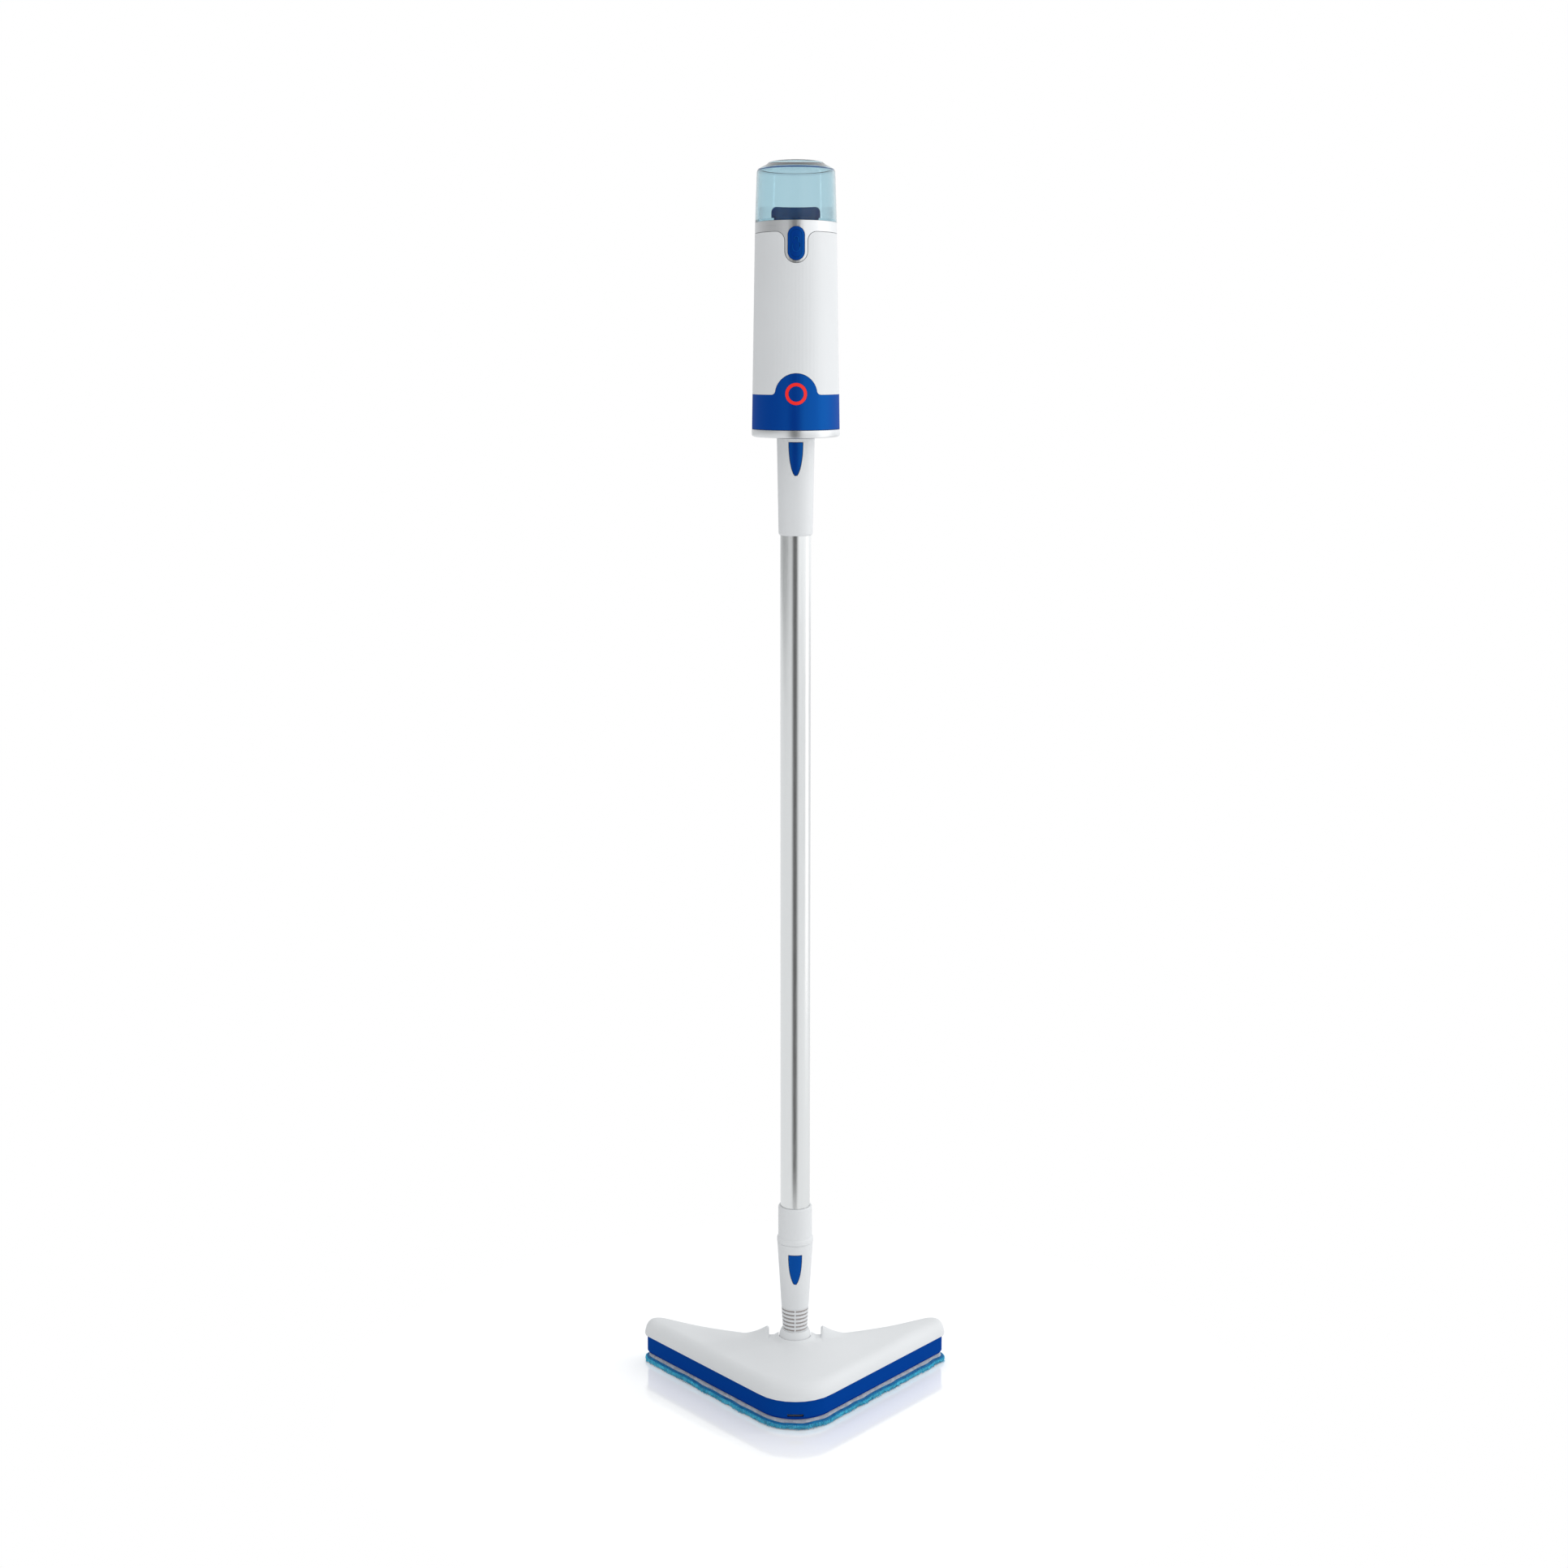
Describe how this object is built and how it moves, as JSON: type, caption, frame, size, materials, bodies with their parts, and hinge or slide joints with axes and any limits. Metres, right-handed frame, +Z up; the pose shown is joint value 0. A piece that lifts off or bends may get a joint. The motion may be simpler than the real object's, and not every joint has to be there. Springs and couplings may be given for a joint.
{
  "type": "steam mop",
  "caption": "Upright steam mop: triangular jointed floor head with pad, ribbed neck, aluminium pole, plug-in steam unit with clear tank, rear handle and trigger.",
  "frame": {"origin": "on the floor, under the axis of the upright pole", "axes": "+Z up along the pole, -Y towards the front of the floor head, +X to the right seen from the front"},
  "size_m": [0.3352, 0.2718, 1.3005],
  "materials": {
    "white_plastic": "glossy white",
    "blue_plastic": "glossy deep blue",
    "grey_plastic": "satin light grey",
    "silver_plastic": "brushed silver coating",
    "aluminium": "satin anodised",
    "steel": "plain steel",
    "terry": "turquoise microfibre terry",
    "felt": "grey felt",
    "clear_tank": "clear blue-tinted",
    "rubber": "black rubber",
    "hose": "silicone hose",
    "black_plastic": "black",
    "red_lens": "translucent red",
    "circuit_board": "green laminate"
  },
  "bodies": {
    "head": {"mop_pad": "terry", "pad_felt": "felt", "sole_plate": "grey_plastic", "skirt": "blue_plastic", "head_cover": "white_plastic", "head_screws": "steel", "pivot_frame": "grey_plastic", "tilt_axle": "steel", "steam_manifold": "grey_plastic", "head_hose": "hose"},
    "cradle": {"tilt_cradle": "grey_plastic", "roll_pin": "steel"},
    "neck": {"neck_ball": "white_plastic", "neck_sleeve": "white_plastic", "neck_shell": "white_plastic", "neck_tube": "steel", "neck_seal": "rubber", "neck_button_spring": "steel"},
    "neck_release": {"neck_button": "blue_plastic"},
    "pole": {"lower_collar": "white_plastic", "pole_tube": "aluminium", "pole_steam_tube": "steel", "pole_screws": "steel", "upper_socket": "white_plastic", "socket_seal": "rubber", "socket_button_spring": "steel"},
    "socket_release": {"socket_button": "blue_plastic"},
    "unit": {"nozzle": "grey_plastic", "base_cap": "silver_plastic", "chassis": "grey_plastic", "boiler": "aluminium", "thermostat": "black_plastic", "pump": "steel", "pump_hose": "hose", "feed_hose": "hose", "control_board": "circuit_board", "blue_band": "blue_plastic", "indicator_ring": "red_lens", "body_front": "white_plastic", "body_rear": "white_plastic", "collar": "silver_plastic", "lock_spring": "steel", "tank_seat": "grey_plastic", "handle_spine": "blue_plastic", "handle_left": "blue_plastic", "handle_right": "blue_plastic", "unit_screws": "steel", "cord_inlet": "rubber", "trigger_pin": "steel", "trigger_switch": "black_plastic", "trigger_spring": "steel"},
    "lock": {"lock_button": "blue_plastic"},
    "trigger": {"steam_trigger": "grey_plastic"},
    "tank": {"water_tank": "clear_tank", "tank_floor": "grey_plastic"},
    "cap": {"filler_cap": "blue_plastic", "tank_seal": "rubber", "valve_spring": "steel"},
    "valve": {"tank_valve": "grey_plastic"}
  },
  "joints": [
    {"name": "neck_tilt", "type": "hinge", "parent": "head", "child": "cradle", "pos_m": [0, 0, 0.044], "axis": [-1, 0, 0], "range_deg": [0, 75]},
    {"name": "neck_roll", "type": "hinge", "parent": "cradle", "child": "neck", "pos_m": [0, 0, 0.0577], "axis": [0, 1, 0], "range_deg": [-12, 12]},
    {"name": "neck_button_press", "type": "slide", "parent": "neck", "child": "neck_release", "axis": [0, 1, 0], "range_m": [0, 0.001], "stiffness_N_per_m": 1500, "deforming": ["neck_button_spring"]},
    {"name": "pole_pull", "type": "slide", "parent": "neck", "child": "pole", "axis": [0, 0, 1], "range_m": [0, 0.045]},
    {"name": "socket_button_press", "type": "slide", "parent": "pole", "child": "socket_release", "axis": [0, 1, 0], "range_m": [0, 0.001], "stiffness_N_per_m": 1500, "deforming": ["socket_button_spring"]},
    {"name": "unit_pull", "type": "slide", "parent": "pole", "child": "unit", "axis": [0, 0, 1], "range_m": [0, 0.07]},
    {"name": "lock_button_press", "type": "slide", "parent": "unit", "child": "lock", "axis": [0, 1, 0], "range_m": [0, 0.002], "stiffness_N_per_m": 1200, "deforming": ["lock_spring"]},
    {"name": "trigger_pull", "type": "hinge", "parent": "unit", "child": "trigger", "pos_m": [0, 0.1378, 1.178], "axis": [1, 0, 0], "range_deg": [0, 6], "stiffness_Nm_per_rad": 1, "deforming": ["trigger_spring"]},
    {"name": "tank_lift", "type": "slide", "parent": "unit", "child": "tank", "axis": [0, 0, 1], "range_m": [0, 0.06]},
    {"name": "cap_turn", "type": "hinge", "parent": "tank", "child": "cap", "pos_m": [0, 0, 1.22], "axis": [0, 0, 1], "range_deg": [0, 90]},
    {"name": "valve_open", "type": "slide", "parent": "cap", "child": "valve", "axis": [0, 0, 1], "range_m": [0, 0.0025], "stiffness_N_per_m": 300, "deforming": ["valve_spring"]}
  ]
}
